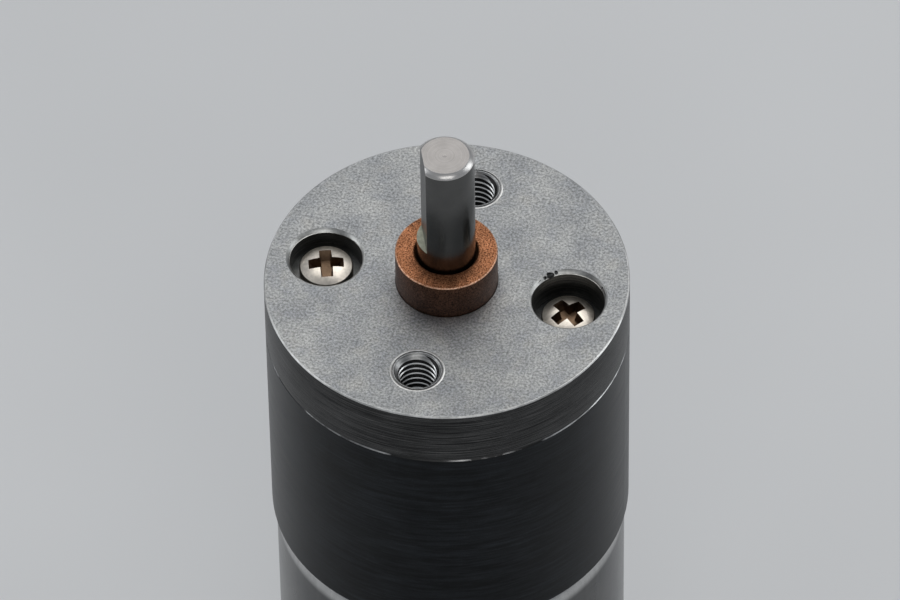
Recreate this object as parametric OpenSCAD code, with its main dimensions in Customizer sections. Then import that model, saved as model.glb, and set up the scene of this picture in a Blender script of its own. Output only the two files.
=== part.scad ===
// Geared brushed dc motor, 25 mm class, with a centred D-shaft and a five-stage spur reduction.
// Frame: origin on the output shaft's axis at the front face of the gearbox, +Z out along the shaft.
// The front plate's tapped holes lie on the Y axis and its two cover screws on the X axis.

/* [Gearbox case] */
// Outside diameter of the gearbox
gearbox_d = 25; // [24.8:0.1:26]
// Length of the gearbox from the front face to the motor
gearbox_len = 22; // [21:0.1:23]
// Thickness of the front plate
plate_t = 4.5; // [4.3:0.1:4.6]
// Distance between opposite holes in the front plate
hole_spacing = 17; // [16.8:0.1:17.2]
// Thread size of the two mounting holes
mount_thread_d = 3; // [2.6:0.1:3]
// Wall thickness of the gear housing
housing_wall = 1; // [0.8:0.1:1.1]
// Thickness of the gear housing's floor
floor_t = 1.5; // [1.3:0.1:1.6]

/* [Output shaft] */
// Diameter of the output shaft
shaft_d = 4; // [3.8:0.1:4]
// Length of the shaft in front of the front face
shaft_len = 12.5; // [10:0.5:20]
// Depth of the flat on the shaft
flat_depth = 0.5; // [0.3:0.1:0.5]
// Height above the front face where the flat ends
flat_start = 4.3; // [4.2:0.1:6]
// Direction that the flat faces
flat_angle = 202; // [0:1:359]
// Outside diameter of the bronze bush
bush_d = 7; // [6.6:0.1:7.2]
// Height of the bush above the front face
bush_h = 2.9; // [2.5:0.1:3]

/* [Motor] */
// Outside diameter of the motor can
can_d = 24.4; // [24.2:0.1:24.4]
// Length of the motor can
can_len = 30.8; // [30.8:0.1:32]
// Wall thickness of the motor can
can_wall = 0.9; // [0.8:0.1:1]
// Diameter of the motor's shaft
rotor_shaft_d = 2; // [1.8:0.1:2]
// Diameter of the armature
armature_d = 16.6; // [16:0.1:16.8]
// Length that the terminals stand out of the rear cover
terminal_len = 4.2; // [3:0.1:6]

/* [Gear train] */
// Gear module of stages two to five
gear_m = 0.4; // [0.38:0.01:0.4]
// Gear module of the first stage
first_m = 0.35; // [0.34:0.01:0.35]
// Running play between meshing teeth
backlash = 0.07; // [0.06:0.01:0.1]
// Face width of the inner gears
face_w = 2; // [1.8:0.1:2]
// Face width of the output gear
output_face_w = 2.5; // [2.2:0.1:2.5]
// Diameter of the two fixed gear pins
pin_d = 1.6; // [1.4:0.1:1.6]

/* [Hidden] */
$fn = 64;
eps = 0.01;          // overshoot of a cut past the face that it opens
running = 0.03;      // radial clearance of a part that turns on a pin or in a bush

// Heights of the case, from the front face down.
plate_z = -plate_t;
case_z = -gearbox_len;
floor_z = case_z + floor_t;
can_end_z = case_z - can_len;

// Front plate.
edge_break = 0.1;
plate_r = gearbox_d / 2;
hole_r = hole_spacing / 2;
cover_bore_r = 2.5;
cover_bore_depth = [1.7, 2.5];    // left and right
mount_tap_r = mount_thread_d / 2 - 0.25;
mount_sink_r = mount_thread_d / 2 + 0.1;

// Gear housing.
housing_chamfer = 0.1;
post_r = 1.9;
post_web = 3;
post_inset = 0.5;
tap_run_out = 0.5;

// Screws.
cover_screw_r = 1;
screw_hole_play = 0.1;
head_r = 1.85;
head_h = 1.3;
head_edge_h = 0.85;
recess_w = 0.8;
recess_len = 2.65;
recess_depth = 0.85;
cover_screw_turn = [18, 51];
motor_screw_turn = 20;
cover_screw_len = 6;
motor_screw_r = 1.2;
motor_screw_spacing = 16;
motor_screw_reach = 2.4;
motor_head_r = 2.1;
motor_head_h = 1.4;
motor_head_edge_h = 1.05;

// Output shaft and its bush.
shaft_r = shaft_d / 2;
shaft_chamfer = 0.34;
tail_chamfer = 0.2;
journal_r = shaft_r - 0.02;
neck_r = shaft_r - 0.01;
relief_r = shaft_r - 0.2;
relief_len = 0.65;
relief_top = bush_h - 0.05;
bush_bore_r = shaft_r + 0.01;
bush_mouth_r = shaft_r + 0.25;
bush_mouth_depth = 0.35;
bush_chamfer = 0.15;
bush_seat_r = bush_d / 2 - 0.3;
bush_sink_r = bush_d / 2 + running;
washer_r = 3.4;
washer_t = 0.2;
washer_gap = 0.05;

// Gear levels: level 1 holds the motor pinion, level 5 the output gear.
level_gap = 0.3;
output_top_z = plate_z - washer_t - 2 * washer_gap;
function level_top(n) =
    n == 5 ? output_top_z : output_top_z - output_face_w - level_gap - (4 - n) * (face_w + level_gap);
function level_bottom(n) = level_top(n) - (n == 5 ? output_face_w : face_w);

// Teeth: each stage's pinion and wheel. Pinions are shifted out and wheels in by the same amount.
stage_pinion = [12, 10, 10, 10, 12];
stage_wheel = [23, 22, 22, 22, 20];
stage_m = [first_m, gear_m, gear_m, gear_m, gear_m];
pressure = 20;
shift = 0.45;
addendum = 0.93;
dedendum = 1.25;
flank_steps = 4;
function centre_distance(n) = stage_m[n - 1] * (stage_pinion[n - 1] + stage_wheel[n - 1]) / 2;

// The two gear pins stand in a triangle with the shaft's axis, symmetric about the Y axis.
pin_a_dist = centre_distance(1);
pin_b_dist = centre_distance(5);
pin_pitch = centre_distance(2);
pin_angle = acos((pin_a_dist^2 + pin_b_dist^2 - pin_pitch^2) / (2 * pin_a_dist * pin_b_dist));
pin_a_dir = 90 + pin_angle / 2;
pin_b_dir = 90 - pin_angle / 2;
pin_a = pin_a_dist * [cos(pin_a_dir), sin(pin_a_dir)];
pin_b = pin_b_dist * [cos(pin_b_dir), sin(pin_b_dir)];
pin_r = pin_d / 2;
gear_bore_r = pin_r + running;
hub_r = 1.45;        // seat of each wheel on its pinion
spacer_r = 1.3;
pin_seat = 1;
pin_top_z = plate_z + 2 * pin_seat;

// A meshing gear's phase: the driver points a tooth, and the driven gear a gap, along the line of centres.
function direction(from, to) = atan2(to[1] - from[1], to[0] - from[0]);
function driven_phase(driver_phase, driver_z, z, line) =
    line + 180 + 180 / z - (driver_phase - line) * driver_z / z;
centre = [0, 0];
phase_rotor = 0;
phase_1 = driven_phase(phase_rotor, stage_pinion[0], stage_wheel[0], direction(centre, pin_a));
phase_2 = driven_phase(phase_1, stage_pinion[1], stage_wheel[1], direction(pin_a, pin_b));
phase_3 = driven_phase(phase_2, stage_pinion[2], stage_wheel[2], direction(pin_b, pin_a));
phase_4 = driven_phase(phase_3, stage_pinion[3], stage_wheel[3], direction(pin_a, pin_b));
phase_out = driven_phase(phase_4, stage_pinion[4], stage_wheel[4], direction(pin_b, centre));

// Motor.
can_r = can_d / 2;
can_in_r = can_r - can_wall;
can_shoulder_r = 1.5;
can_boss_r = 3;
can_boss_h = 1.3;
boss_web = 0.3;
crimp_t = 0.35;
crimp_w = 3;
crimp_reach = 0.8;
can_vent = [5.9, 2.4];
can_vent_rise = 4;
cap_t = 2.6;
cap_lip = 0.4;
cap_z = can_end_z + cap_lip;
cap_in_z = cap_z + cap_t;
cap_r = can_in_r - 0.02;
cap_skirt_t = 1.3;
cap_skirt_h = 2.5;
cap_boss_r = 4;
cap_boss_h = 1.6;
cap_boss_web = 0.5;
cap_vent_r = [6, 9.4];
cap_vent_arc = 50;
cap_boss_taper = 0.3;
pad_w = 2.4;
pad_len = 4.4;
pad_t = 0.6;
pad_in = 0.3;        // how far each pad's middle lies inside its terminal
rotor_r = rotor_shaft_d / 2;
rotor_bore_r = rotor_r + 0.02;
rotor_hole_r = rotor_r + 0.4;
rotor_tail = 0.9;
rotor_top_z = level_top(1);
motor_bush_r = 2.4;
magnet_in_r = armature_d / 2 + 0.4;
magnet_r = can_in_r - 0.02;
magnet_len = 18;
magnet_z = case_z - 4;
magnet_arc = 125;
clip_r = can_in_r - 0.05;
clip_t = 0.4;
clip_arc = 180 - magnet_arc - 4;
clip_inset = 1;
core_len = 14;
core_z = magnet_z - 1.8;
poles = 5;
slot_pitch = 360 / poles;
core_hub_r = 3.2;
tooth_w = 2.4;
shoe_t = 1.3;
slot_mouth = 1.1;
insulator_t = 0.5;
insulator_rim = 0.2;
front_collar_r = 1.9;
rear_collar_r = 1.7;
collar_t = 0.5;
end_play = 0.3;
winding_out = 2;
coil_side_t = 1.15;
coil_gap = 0.22;
coil_in_r = core_hub_r + 0.45;
coil_out_r = armature_d / 2 - shoe_t - 0.1;
coil_arc = slot_pitch - 3;
coil_apex = 2;
commutator_r = 2.6;
commutator_len = 4.2;
segment_t = 0.5;
segment_gap = 0.3;
riser_w = 1;
riser_t = 0.5;
riser_len = 0.9;
varistor_r = 4.4;
varistor_t = 0.7;
varistor_gap = 0.1;
commutator_top = core_z - core_len - winding_out - 1;
brush_w = 2.2;
brush_h = 2;
brush_len = 2.6;
brush_z = commutator_top - 2.4;
terminal_w = 2;
terminal_t = 0.4;
terminal_x = 8.6;
terminal_top_z = brush_z + 0.6;
solder_hole_r = 0.55;
solder_hole_in = 1.3;
arm_t = 0.25;
arm_h = 2.4;
arm_z = brush_z - 1.4;

// ---- Shapes used more than once ----

module ring(outer, inner, z, h) {
    translate([0, 0, z]) difference() {
        cylinder(r = outer, h = h);
        translate([0, 0, -eps]) cylinder(r = inner, h = h + 2 * eps);
    }
}

module rod(r, z, h) {
    translate([0, 0, z]) cylinder(r = r, h = h);
}

module at(p) {
    translate([p[0], p[1], 0]) children();
}

// A flat wedge of the given angle, centred on the X axis and reaching past radius r.
module wedge(r, angle, apex = 0) {
    polygon([
        [apex, 0],
        2 * r * [cos(angle / 2), -sin(angle / 2)],
        [3 * r, 0],
        2 * r * [cos(angle / 2), sin(angle / 2)]
    ]);
}

// A revolved outline of [radius, height] points.
module turned(points) {
    rotate_extrude() polygon(points);
}

// A 45 degree countersink in the front face, from a hole's radius out to mouth_r.
module sink(hole_radius, mouth_r) {
    turned([
        [0, hole_radius - mouth_r], [hole_radius, hole_radius - mouth_r],
        [mouth_r, 0], [mouth_r, eps], [0, eps]
    ]);
}

// Degrees of involute unrolled where its pressure angle is a.
function involute(a) = tan(a) * 180 / PI - a;

// Half of a tooth's angle at radius r, where the tooth is half_pitch wide on the pitch circle.
function half_tooth(r, base_r, half_pitch) =
    half_pitch + involute(pressure) - involute(acos(min(1, base_r / r)));

// One tooth's outline, from its right root round the tip to its left root.
function tooth(z, m, x, k) =
    let (
        pitch_r = m * z / 2,
        base_r = pitch_r * cos(pressure),
        tip_r = pitch_r + m * (addendum + x),
        root_r = pitch_r - m * (dedendum - x),
        start_r = max(base_r, root_r),
        half_pitch = 90 / z + (2 * x * tan(pressure) / z - backlash / 4 / pitch_r) * 180 / PI,
        radii = [for (i = [0:flank_steps]) start_r + (tip_r - start_r) * i / flank_steps],
        flank = concat(
            root_r < base_r ? [[root_r, half_tooth(base_r, base_r, half_pitch)]] : [],
            [for (r = radii) [r, half_tooth(r, base_r, half_pitch)]]
        ),
        n = len(flank),
        middle = k * 360 / z
    )
    concat(
        [for (i = [0:n - 1]) flank[i][0] * [cos(middle - flank[i][1]), sin(middle - flank[i][1])]],
        [for (i = [n - 1:-1:0]) flank[i][0] * [cos(middle + flank[i][1]), sin(middle + flank[i][1])]]
    );

// A spur gear with a tooth at angle phase.
module gear(z, m, x, phase, z0, h, bore_r) {
    translate([0, 0, z0]) rotate([0, 0, phase]) difference() {
        linear_extrude(height = h) polygon([for (k = [0:z - 1]) each tooth(z, m, x, k)]);
        translate([0, 0, -eps]) cylinder(r = bore_r, h = h + 2 * eps);
    }
}

// A domed pan head with a cross recess, its underside at z = 0.
module pan_head(r, h, edge_h, turn) {
    dome_r = (r^2 + (h - edge_h)^2) / (2 * (h - edge_h));
    difference() {
        intersection() {
            cylinder(r = r, h = h);
            translate([0, 0, h - dome_r]) sphere(r = dome_r);
        }
        for (a = [0, 90]) rotate([0, 0, turn + a])
            translate([-recess_len / 2, -recess_w / 2, h - recess_depth])
                cube([recess_len, recess_w, recess_depth + 1]);
    }
}

// ---- Gearbox case ----

module front_plate() {
    color("#9b9ca0") difference() {
        turned([
            [0, plate_z], [plate_r - edge_break / 2, plate_z], [plate_r, plate_z + edge_break / 2],
            [plate_r, -edge_break], [plate_r - edge_break, 0], [0, 0]
        ]);
        rod(bush_seat_r, plate_z - eps, plate_t + 2 * eps);
        sink(bush_seat_r, bush_sink_r);
        for (k = [0, 1]) {
            translate([0, (2 * k - 1) * hole_r, 0]) {
                rod(mount_tap_r, plate_z - eps, plate_t + 2 * eps);
                sink(mount_tap_r, mount_sink_r);
            }
            translate([(2 * k - 1) * hole_r, 0, 0]) {
                rod(cover_screw_r + screw_hole_play, plate_z - eps, plate_t + 2 * eps);
                rod(cover_bore_r, -cover_bore_depth[k], cover_bore_depth[k] + eps);
            }
        }
        at(pin_a) rod(pin_r, plate_z - eps, 2 * pin_seat + eps);
        at(pin_b) rod(pin_r, plate_z - eps, 2 * pin_seat + eps);
    }
}

module output_bush() {
    color("#a2623c") turned([
        [bush_bore_r, plate_z], [bush_seat_r, plate_z], [bush_seat_r, 0], [bush_d / 2, 0],
        [bush_d / 2, bush_h - bush_chamfer],
        [bush_d / 2 - bush_chamfer, bush_h], [bush_mouth_r, bush_h], [bush_bore_r, bush_h - bush_mouth_depth]
    ]);
}

module cover_screws() {
    for (k = [0, 1]) color("#d9d2c6") translate([(2 * k - 1) * hole_r, 0, -cover_bore_depth[k]]) {
        pan_head(head_r, head_h, head_edge_h, cover_screw_turn[k]);
        rod(cover_screw_r, -cover_screw_len, cover_screw_len);
    }
}

module gear_housing() {
    tap_z = -max(cover_bore_depth) - cover_screw_len - tap_run_out;
    color("#595e63") difference() {
        union() {
            difference() {
                turned([
                    [0, case_z], [plate_r - housing_chamfer, case_z], [plate_r, case_z + housing_chamfer],
                    [plate_r, plate_z - edge_break], [plate_r - edge_break, plate_z], [0, plate_z]
                ]);
                rod(plate_r - housing_wall, floor_z, gearbox_len);
            }
            for (s = [-1, 1]) intersection() {
                translate([s * hole_r, 0, 0]) union() {
                    rod(post_r, floor_z - eps, plate_z - floor_z + eps);
                    translate([s > 0 ? 0 : -post_web, -post_r, floor_z - eps])
                        cube([post_web, 2 * post_r, plate_z - floor_z + eps]);
                }
                rod(plate_r - post_inset, case_z, gearbox_len - plate_t);
            }
        }
        for (s = [-1, 1]) {
            translate([s * hole_r, 0, 0]) rod(cover_screw_r, tap_z, gearbox_len);
            translate([0, s * motor_screw_spacing / 2, 0])
                rod(motor_screw_r + screw_hole_play, case_z - eps, floor_t + 2 * eps);
        }
        rod(can_boss_r + screw_hole_play, case_z - eps, floor_t + 2 * eps);
        at(pin_a) rod(pin_r, floor_z - pin_seat, pin_seat + eps);
        at(pin_b) rod(pin_r, floor_z - pin_seat, pin_seat + eps);
    }
}

module motor_screws() {
    for (s = [-1, 1]) color("#c9c4ba") translate([0, s * motor_screw_spacing / 2, 0]) {
        translate([0, 0, floor_z]) pan_head(motor_head_r, motor_head_h, motor_head_edge_h, motor_screw_turn);
        rod(motor_screw_r, case_z - motor_screw_reach, floor_t + motor_screw_reach);
    }
}

// ---- Output shaft ----

module output_shaft() {
    tail_z = level_bottom(5);
    color("#b9bbbe") difference() {
        turned([
            [0, tail_z], [journal_r - tail_chamfer, tail_z], [journal_r, tail_z + tail_chamfer],
            [journal_r, relief_top - relief_len], [relief_r, relief_top - relief_len],
            [relief_r, relief_top], [neck_r, relief_top],
            [neck_r, flat_start + eps], [shaft_r, flat_start + eps],
            [shaft_r, shaft_len - shaft_chamfer], [shaft_r - shaft_chamfer, shaft_len], [0, shaft_len]
        ]);
        rotate([0, 0, flat_angle])
            translate([shaft_r - flat_depth, -shaft_d, flat_start])
                cube([shaft_d, 2 * shaft_d, shaft_len]);
    }
}

module output_gear() {
    color("#8a8b88")
        gear(stage_wheel[4], stage_m[4], -shift, phase_out, level_bottom(5), output_face_w, journal_r);
}

module output_thrust_washer() {
    color("#b5833f") ring(washer_r, journal_r + running, plate_z - washer_gap - washer_t, washer_t);
}

// ---- Gear pins and clusters ----

module gear_pin() {
    rod(pin_r, floor_z - pin_seat, pin_top_z - floor_z + pin_seat);
}

module gear_pin_a() {
    color("#c4c6c8") at(pin_a) gear_pin();
}

module gear_pin_b() {
    color("#c4c6c8") at(pin_b) gear_pin();
}

// A loose spacer between two heights, with a little play at each end.
module spacer(from_z, to_z) {
    ring(spacer_r, gear_bore_r, from_z + washer_gap, to_z - from_z - 2 * washer_gap);
}

module pin_a_spacers() {
    color("#b5833f") at(pin_a) {
        spacer(floor_z, level_bottom(1));
        spacer(level_top(2), level_bottom(3));
        spacer(level_top(4), plate_z);
    }
}

module pin_b_spacers() {
    color("#b5833f") at(pin_b) {
        spacer(floor_z, level_bottom(2));
        spacer(level_top(3), level_bottom(4));
        spacer(level_top(5), plate_z);
    }
}

// Cluster n: the wheel that stage n drives, pressed on the pinion that drives stage n + 1.
module cluster_wheel(n, phase) {
    gear(stage_wheel[n - 1], stage_m[n - 1], -shift, phase, level_bottom(n), face_w, hub_r);
}

module cluster_pinion(n, phase) {
    seam_z = level_top(n);
    gear(stage_pinion[n], stage_m[n], shift, phase, seam_z, level_top(n + 1) - seam_z, gear_bore_r);
    ring(hub_r, gear_bore_r, level_bottom(n), face_w);
}

module cluster_1_wheel() { color("#b08d4a") at(pin_a) cluster_wheel(1, phase_1); }
module cluster_2_wheel() { color("#8a8b88") at(pin_b) cluster_wheel(2, phase_2); }
module cluster_3_wheel() { color("#8a8b88") at(pin_a) cluster_wheel(3, phase_3); }
module cluster_4_wheel() { color("#8a8b88") at(pin_b) cluster_wheel(4, phase_4); }
module cluster_1_pinion() { color("#9c9c98") at(pin_a) cluster_pinion(1, phase_1); }
module cluster_2_pinion() { color("#9c9c98") at(pin_b) cluster_pinion(2, phase_2); }
module cluster_3_pinion() { color("#9c9c98") at(pin_a) cluster_pinion(3, phase_3); }
module cluster_4_pinion() { color("#9c9c98") at(pin_b) cluster_pinion(4, phase_4); }

// ---- Rotor ----

module motor_pinion() {
    color("#c19a4b")
        gear(stage_pinion[0], stage_m[0], shift, phase_rotor, level_bottom(1), face_w, rotor_r);
}

module motor_shaft() {
    end_z = cap_z - cap_boss_h - rotor_tail;
    color("#c4c6c8") rod(rotor_r, end_z, rotor_top_z - end_z);
}

// One armature lamination: a hub with T-shaped teeth.
module lamination() {
    difference() {
        union() {
            circle(r = core_hub_r);
            for (k = [0:poles - 1]) rotate(k * slot_pitch)
                translate([0, -tooth_w / 2]) square([armature_d / 2 - shoe_t / 2, tooth_w]);
            difference() {
                circle(r = armature_d / 2);
                circle(r = armature_d / 2 - shoe_t);
                for (k = [0:poles - 1]) rotate((k + 0.5) * slot_pitch)
                    translate([0, -slot_mouth / 2]) square([armature_d, slot_mouth]);
            }
        }
        circle(r = rotor_r);
    }
}

module armature_core() {
    color("#6d6f72") translate([0, 0, core_z - core_len]) linear_extrude(height = core_len) lamination();
}

module armature_insulators() {
    for (z = [core_z, core_z - core_len - insulator_t])
        color("#2f6b3f") translate([0, 0, z]) linear_extrude(height = insulator_t) difference() {
            union() {
                circle(r = core_hub_r + insulator_rim);
                for (k = [0:poles - 1]) rotate(k * slot_pitch)
                    translate([0, -tooth_w / 2 - insulator_rim])
                        square([armature_d / 2 - shoe_t - insulator_rim, tooth_w + 2 * insulator_rim]);
            }
            circle(r = rotor_r);
        }
}

// One coil: a loop of wire round a tooth, over both ends of the core.
module coil() {
    span = core_len + 2 * insulator_t;
    over = winding_out - insulator_t;
    in_w = tooth_w + 2 * coil_gap;
    out_w = in_w + 2 * coil_side_t;
    translate([coil_in_r, 0, core_z + insulator_t - span]) difference() {
        translate([0, -out_w / 2, -over]) cube([coil_out_r - coil_in_r, out_w, span + 2 * over]);
        translate([-eps, -in_w / 2, 0]) cube([coil_out_r, in_w, span]);
    }
}

module armature_windings() {
    reach = core_len + 3 * winding_out;      // past both ends of the coils
    for (k = [0:poles - 1]) color("#a8522a") rotate([0, 0, k * slot_pitch]) intersection() {
        coil();
        // each coil keeps to its own sector, inside the shoes
        translate([0, 0, core_z - core_len / 2]) linear_extrude(height = reach, center = true) intersection() {
            circle(r = coil_out_r);
            wedge(armature_d, coil_arc, coil_apex);
        }
    }
}

module commutator_hub() {
    hub_len = commutator_len + varistor_gap + varistor_t;
    color("#3b2f28") ring(commutator_r - segment_t, rotor_r, commutator_top - commutator_len, hub_len);
}

// The five segments' outline, with a riser of the given length on each.
module segment_outline(riser) {
    difference() {
        union() {
            circle(r = commutator_r);
            for (k = [0:poles - 1]) rotate(k * slot_pitch)
                translate([0, -riser_w / 2]) square([commutator_r + riser, riser_w]);
        }
        circle(r = commutator_r - segment_t);
        for (k = [0:poles - 1]) rotate((k + 0.5) * slot_pitch)
            translate([0, -segment_gap / 2]) square([2 * commutator_r, segment_gap]);
    }
}

module commutator_segments() {
    color("#c07a4a") {
        translate([0, 0, commutator_top - commutator_len])
            linear_extrude(height = commutator_len - riser_t) segment_outline(0);
        translate([0, 0, commutator_top - riser_t]) linear_extrude(height = riser_t) segment_outline(riser_len);
    }
}

module varistor_ring() {
    color("#3a3a3d")
        ring(varistor_r, commutator_r - segment_t, commutator_top + varistor_gap, varistor_t);
}

module rotor_collars() {
    front_z = case_z - can_wall - end_play;
    rear_z = commutator_top - commutator_len;
    color("#e4e0d6") {
        ring(front_collar_r, rotor_r, core_z + insulator_t, front_z - core_z - insulator_t);
        ring(rear_collar_r, rotor_r, rear_z - collar_t, collar_t);
    }
}

// ---- Motor case ----

module motor_can() {
    k = can_shoulder_r;
    shoulder = [for (a = [90:-15:0]) [can_r - k + k * cos(a), case_z - k + k * sin(a)]];
    color("#b4b6b8") difference() {
        union() {
            difference() {
                union() {
                    turned(concat([[0, case_z]], shoulder, [[can_r, can_end_z], [0, can_end_z]]));
                    rod(can_boss_r, case_z - eps, can_boss_h + eps);
                }
                rod(can_in_r, can_end_z - eps, can_len - can_wall + eps);
            }
            // crimped tabs that hold the rear cover
            for (a = [45:90:315]) rotate([0, 0, a]) intersection() {
                ring(can_in_r + can_wall / 4, can_in_r - crimp_reach, can_end_z, crimp_t);
                translate([0, -crimp_w / 2, can_end_z - crimp_t]) cube([can_r, crimp_w, 3 * crimp_t]);
            }
        }
        rod(motor_bush_r, case_z - can_wall - eps, can_wall + can_boss_h - boss_web + eps);
        rod(rotor_hole_r, case_z, can_boss_h + eps);
        for (s = [-1, 1]) translate([0, s * motor_screw_spacing / 2, 0])
            rod(motor_screw_r, case_z - can_wall - eps, can_wall + 2 * eps);
        // two vent windows low on the sides
        for (s = [-1, 1]) translate([0, s * can_r, cap_in_z + can_vent_rise]) rotate([90, 0, 0])
            linear_extrude(height = 4 * can_wall, center = true) {
                square([can_vent[0] - can_vent[1], can_vent[1]], center = true);
                for (q = [-1, 1]) translate([q * (can_vent[0] - can_vent[1]) / 2, 0]) circle(d = can_vent[1]);
            }
    }
}

module front_motor_bush() {
    color("#a97b4c") ring(motor_bush_r, rotor_bore_r, case_z - can_wall, can_wall + can_boss_h - boss_web);
}

module magnet(dir) {
    color("#3c3c40") rotate([0, 0, dir]) intersection() {
        ring(magnet_r, magnet_in_r, magnet_z - magnet_len, magnet_len);
        translate([0, 0, magnet_z - magnet_len - 1]) linear_extrude(height = magnet_len + 2)
            wedge(can_r, magnet_arc);
    }
}

module magnet_left() { magnet(180); }
module magnet_right() { magnet(0); }

// Spring clips that wedge the magnets apart, one in each gap between them.
module magnet_springs() {
    for (s = [90, 270]) color("#9a9da0") rotate([0, 0, s])
        translate([0, 0, magnet_z - magnet_len + clip_inset])
            linear_extrude(height = magnet_len - 2 * clip_inset) intersection() {
                difference() {
                    circle(r = clip_r);
                    circle(r = clip_r - clip_t);
                }
                wedge(can_r, clip_arc);
            }
}

// ---- Rear cover and brush gear ----

module end_cap() {
    color("#232326") difference() {
        union() {
            rod(cap_r, cap_z, cap_t);
            translate([0, 0, cap_z - cap_boss_h])
                cylinder(r1 = cap_boss_r - cap_boss_taper, r2 = cap_boss_r, h = cap_boss_h + eps);
            ring(cap_r, cap_r - cap_skirt_t, cap_in_z - eps, cap_skirt_h);
            // raised pads round the terminals
            for (s = [-1, 1]) translate([s * (terminal_x - pad_in) - pad_w / 2, -pad_len / 2, cap_z - pad_t])
                cube([pad_w, pad_len, pad_t + eps]);
        }
        rod(motor_bush_r, cap_z - cap_boss_h + cap_boss_web, cap_t + cap_boss_h);
        rod(rotor_hole_r, cap_z - cap_boss_h - eps, cap_boss_h);
        for (s = [-1, 1]) translate([s * terminal_x - terminal_t / 2, -terminal_w / 2, cap_z - 2 * pad_t])
            cube([terminal_t, terminal_w, cap_t + cap_skirt_h + 2 * pad_t]);
        // two curved vent windows
        for (s = [90, 270]) rotate([0, 0, s]) translate([0, 0, cap_z - 1]) intersection() {
            ring(cap_vent_r[1], cap_vent_r[0], 0, cap_t + 2);
            linear_extrude(height = cap_t + 2) wedge(can_r, cap_vent_arc);
        }
    }
}

module rear_motor_bush() {
    bottom_z = cap_z - cap_boss_h + cap_boss_web;
    color("#a97b4c") ring(motor_bush_r, rotor_bore_r, bottom_z, cap_in_z - bottom_z);
}

module brush(s) {
    color("#2b2b2c") difference() {
        translate([s * (commutator_r + brush_len / 2), 0, brush_z])
            cube([brush_len, brush_w, brush_h], center = true);
        rod(commutator_r + running, brush_z - brush_h, 2 * brush_h);
    }
}

module brush_left() { brush(-1); }
module brush_right() { brush(1); }

// A leaf spring from the terminal's foot to the back of the brush.
module brush_arm(s) {
    back_x = commutator_r + brush_len;
    foot_x = terminal_x - terminal_t / 2;
    color("#c79a55") scale([s, 1, 1]) {
        translate([back_x, -brush_w / 2, arm_z]) cube([arm_t, brush_w, arm_h]);
        translate([back_x, -brush_w / 2, arm_z]) cube([foot_x - back_x, brush_w, arm_t]);
    }
}

module brush_arm_left() { brush_arm(-1); }
module brush_arm_right() { brush_arm(1); }

module terminal(s) {
    end_z = cap_z - terminal_len;
    color("#d8c9a0") difference() {
        translate([s * terminal_x - terminal_t / 2, -terminal_w / 2, end_z])
            cube([terminal_t, terminal_w, terminal_top_z - end_z]);
        translate([s * terminal_x, 0, end_z + solder_hole_in]) rotate([0, 90, 0])
            cylinder(r = solder_hole_r, h = 4 * terminal_t, center = true);
    }
}

module terminal_left() { terminal(-1); }
module terminal_right() { terminal(1); }

// ---- What is drawn ----

front_plate();
output_bush();
cover_screws();
gear_housing();
motor_screws();
output_shaft();
output_gear();
output_thrust_washer();
gear_pin_a();
gear_pin_b();
pin_a_spacers();
pin_b_spacers();
cluster_1_wheel();
cluster_1_pinion();
cluster_2_wheel();
cluster_2_pinion();
cluster_3_wheel();
cluster_3_pinion();
cluster_4_wheel();
cluster_4_pinion();
motor_pinion();
motor_shaft();
armature_core();
armature_insulators();
armature_windings();
commutator_hub();
commutator_segments();
varistor_ring();
rotor_collars();
motor_can();
front_motor_bush();
magnet_left();
magnet_right();
magnet_springs();
end_cap();
rear_motor_bush();
brush_arm_left();
brush_arm_right();
brush_left();
brush_right();
terminal_left();
terminal_right();
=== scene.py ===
import math
import random
import bmesh
import bpy
from mathutils import Matrix, Vector


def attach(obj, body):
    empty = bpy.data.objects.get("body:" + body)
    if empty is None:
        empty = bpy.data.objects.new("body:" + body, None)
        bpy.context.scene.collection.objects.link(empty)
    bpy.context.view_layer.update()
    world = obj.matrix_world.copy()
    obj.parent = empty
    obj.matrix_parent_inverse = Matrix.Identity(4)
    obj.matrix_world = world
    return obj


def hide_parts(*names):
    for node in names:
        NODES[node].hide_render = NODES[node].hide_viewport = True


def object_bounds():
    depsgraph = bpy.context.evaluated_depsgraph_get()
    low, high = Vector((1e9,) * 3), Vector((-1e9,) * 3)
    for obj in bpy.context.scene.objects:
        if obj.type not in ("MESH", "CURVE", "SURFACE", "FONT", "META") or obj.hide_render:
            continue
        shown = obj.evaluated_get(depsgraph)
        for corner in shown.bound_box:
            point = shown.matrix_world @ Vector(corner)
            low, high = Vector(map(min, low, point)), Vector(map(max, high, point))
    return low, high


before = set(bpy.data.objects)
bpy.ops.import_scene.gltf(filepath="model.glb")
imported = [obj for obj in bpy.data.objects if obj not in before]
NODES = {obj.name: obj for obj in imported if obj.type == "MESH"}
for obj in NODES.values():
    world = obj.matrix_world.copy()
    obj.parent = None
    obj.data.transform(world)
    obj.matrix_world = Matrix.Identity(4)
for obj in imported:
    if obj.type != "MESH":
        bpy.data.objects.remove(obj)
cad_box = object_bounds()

rng = random.Random(25)
MM = 0.001

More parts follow.
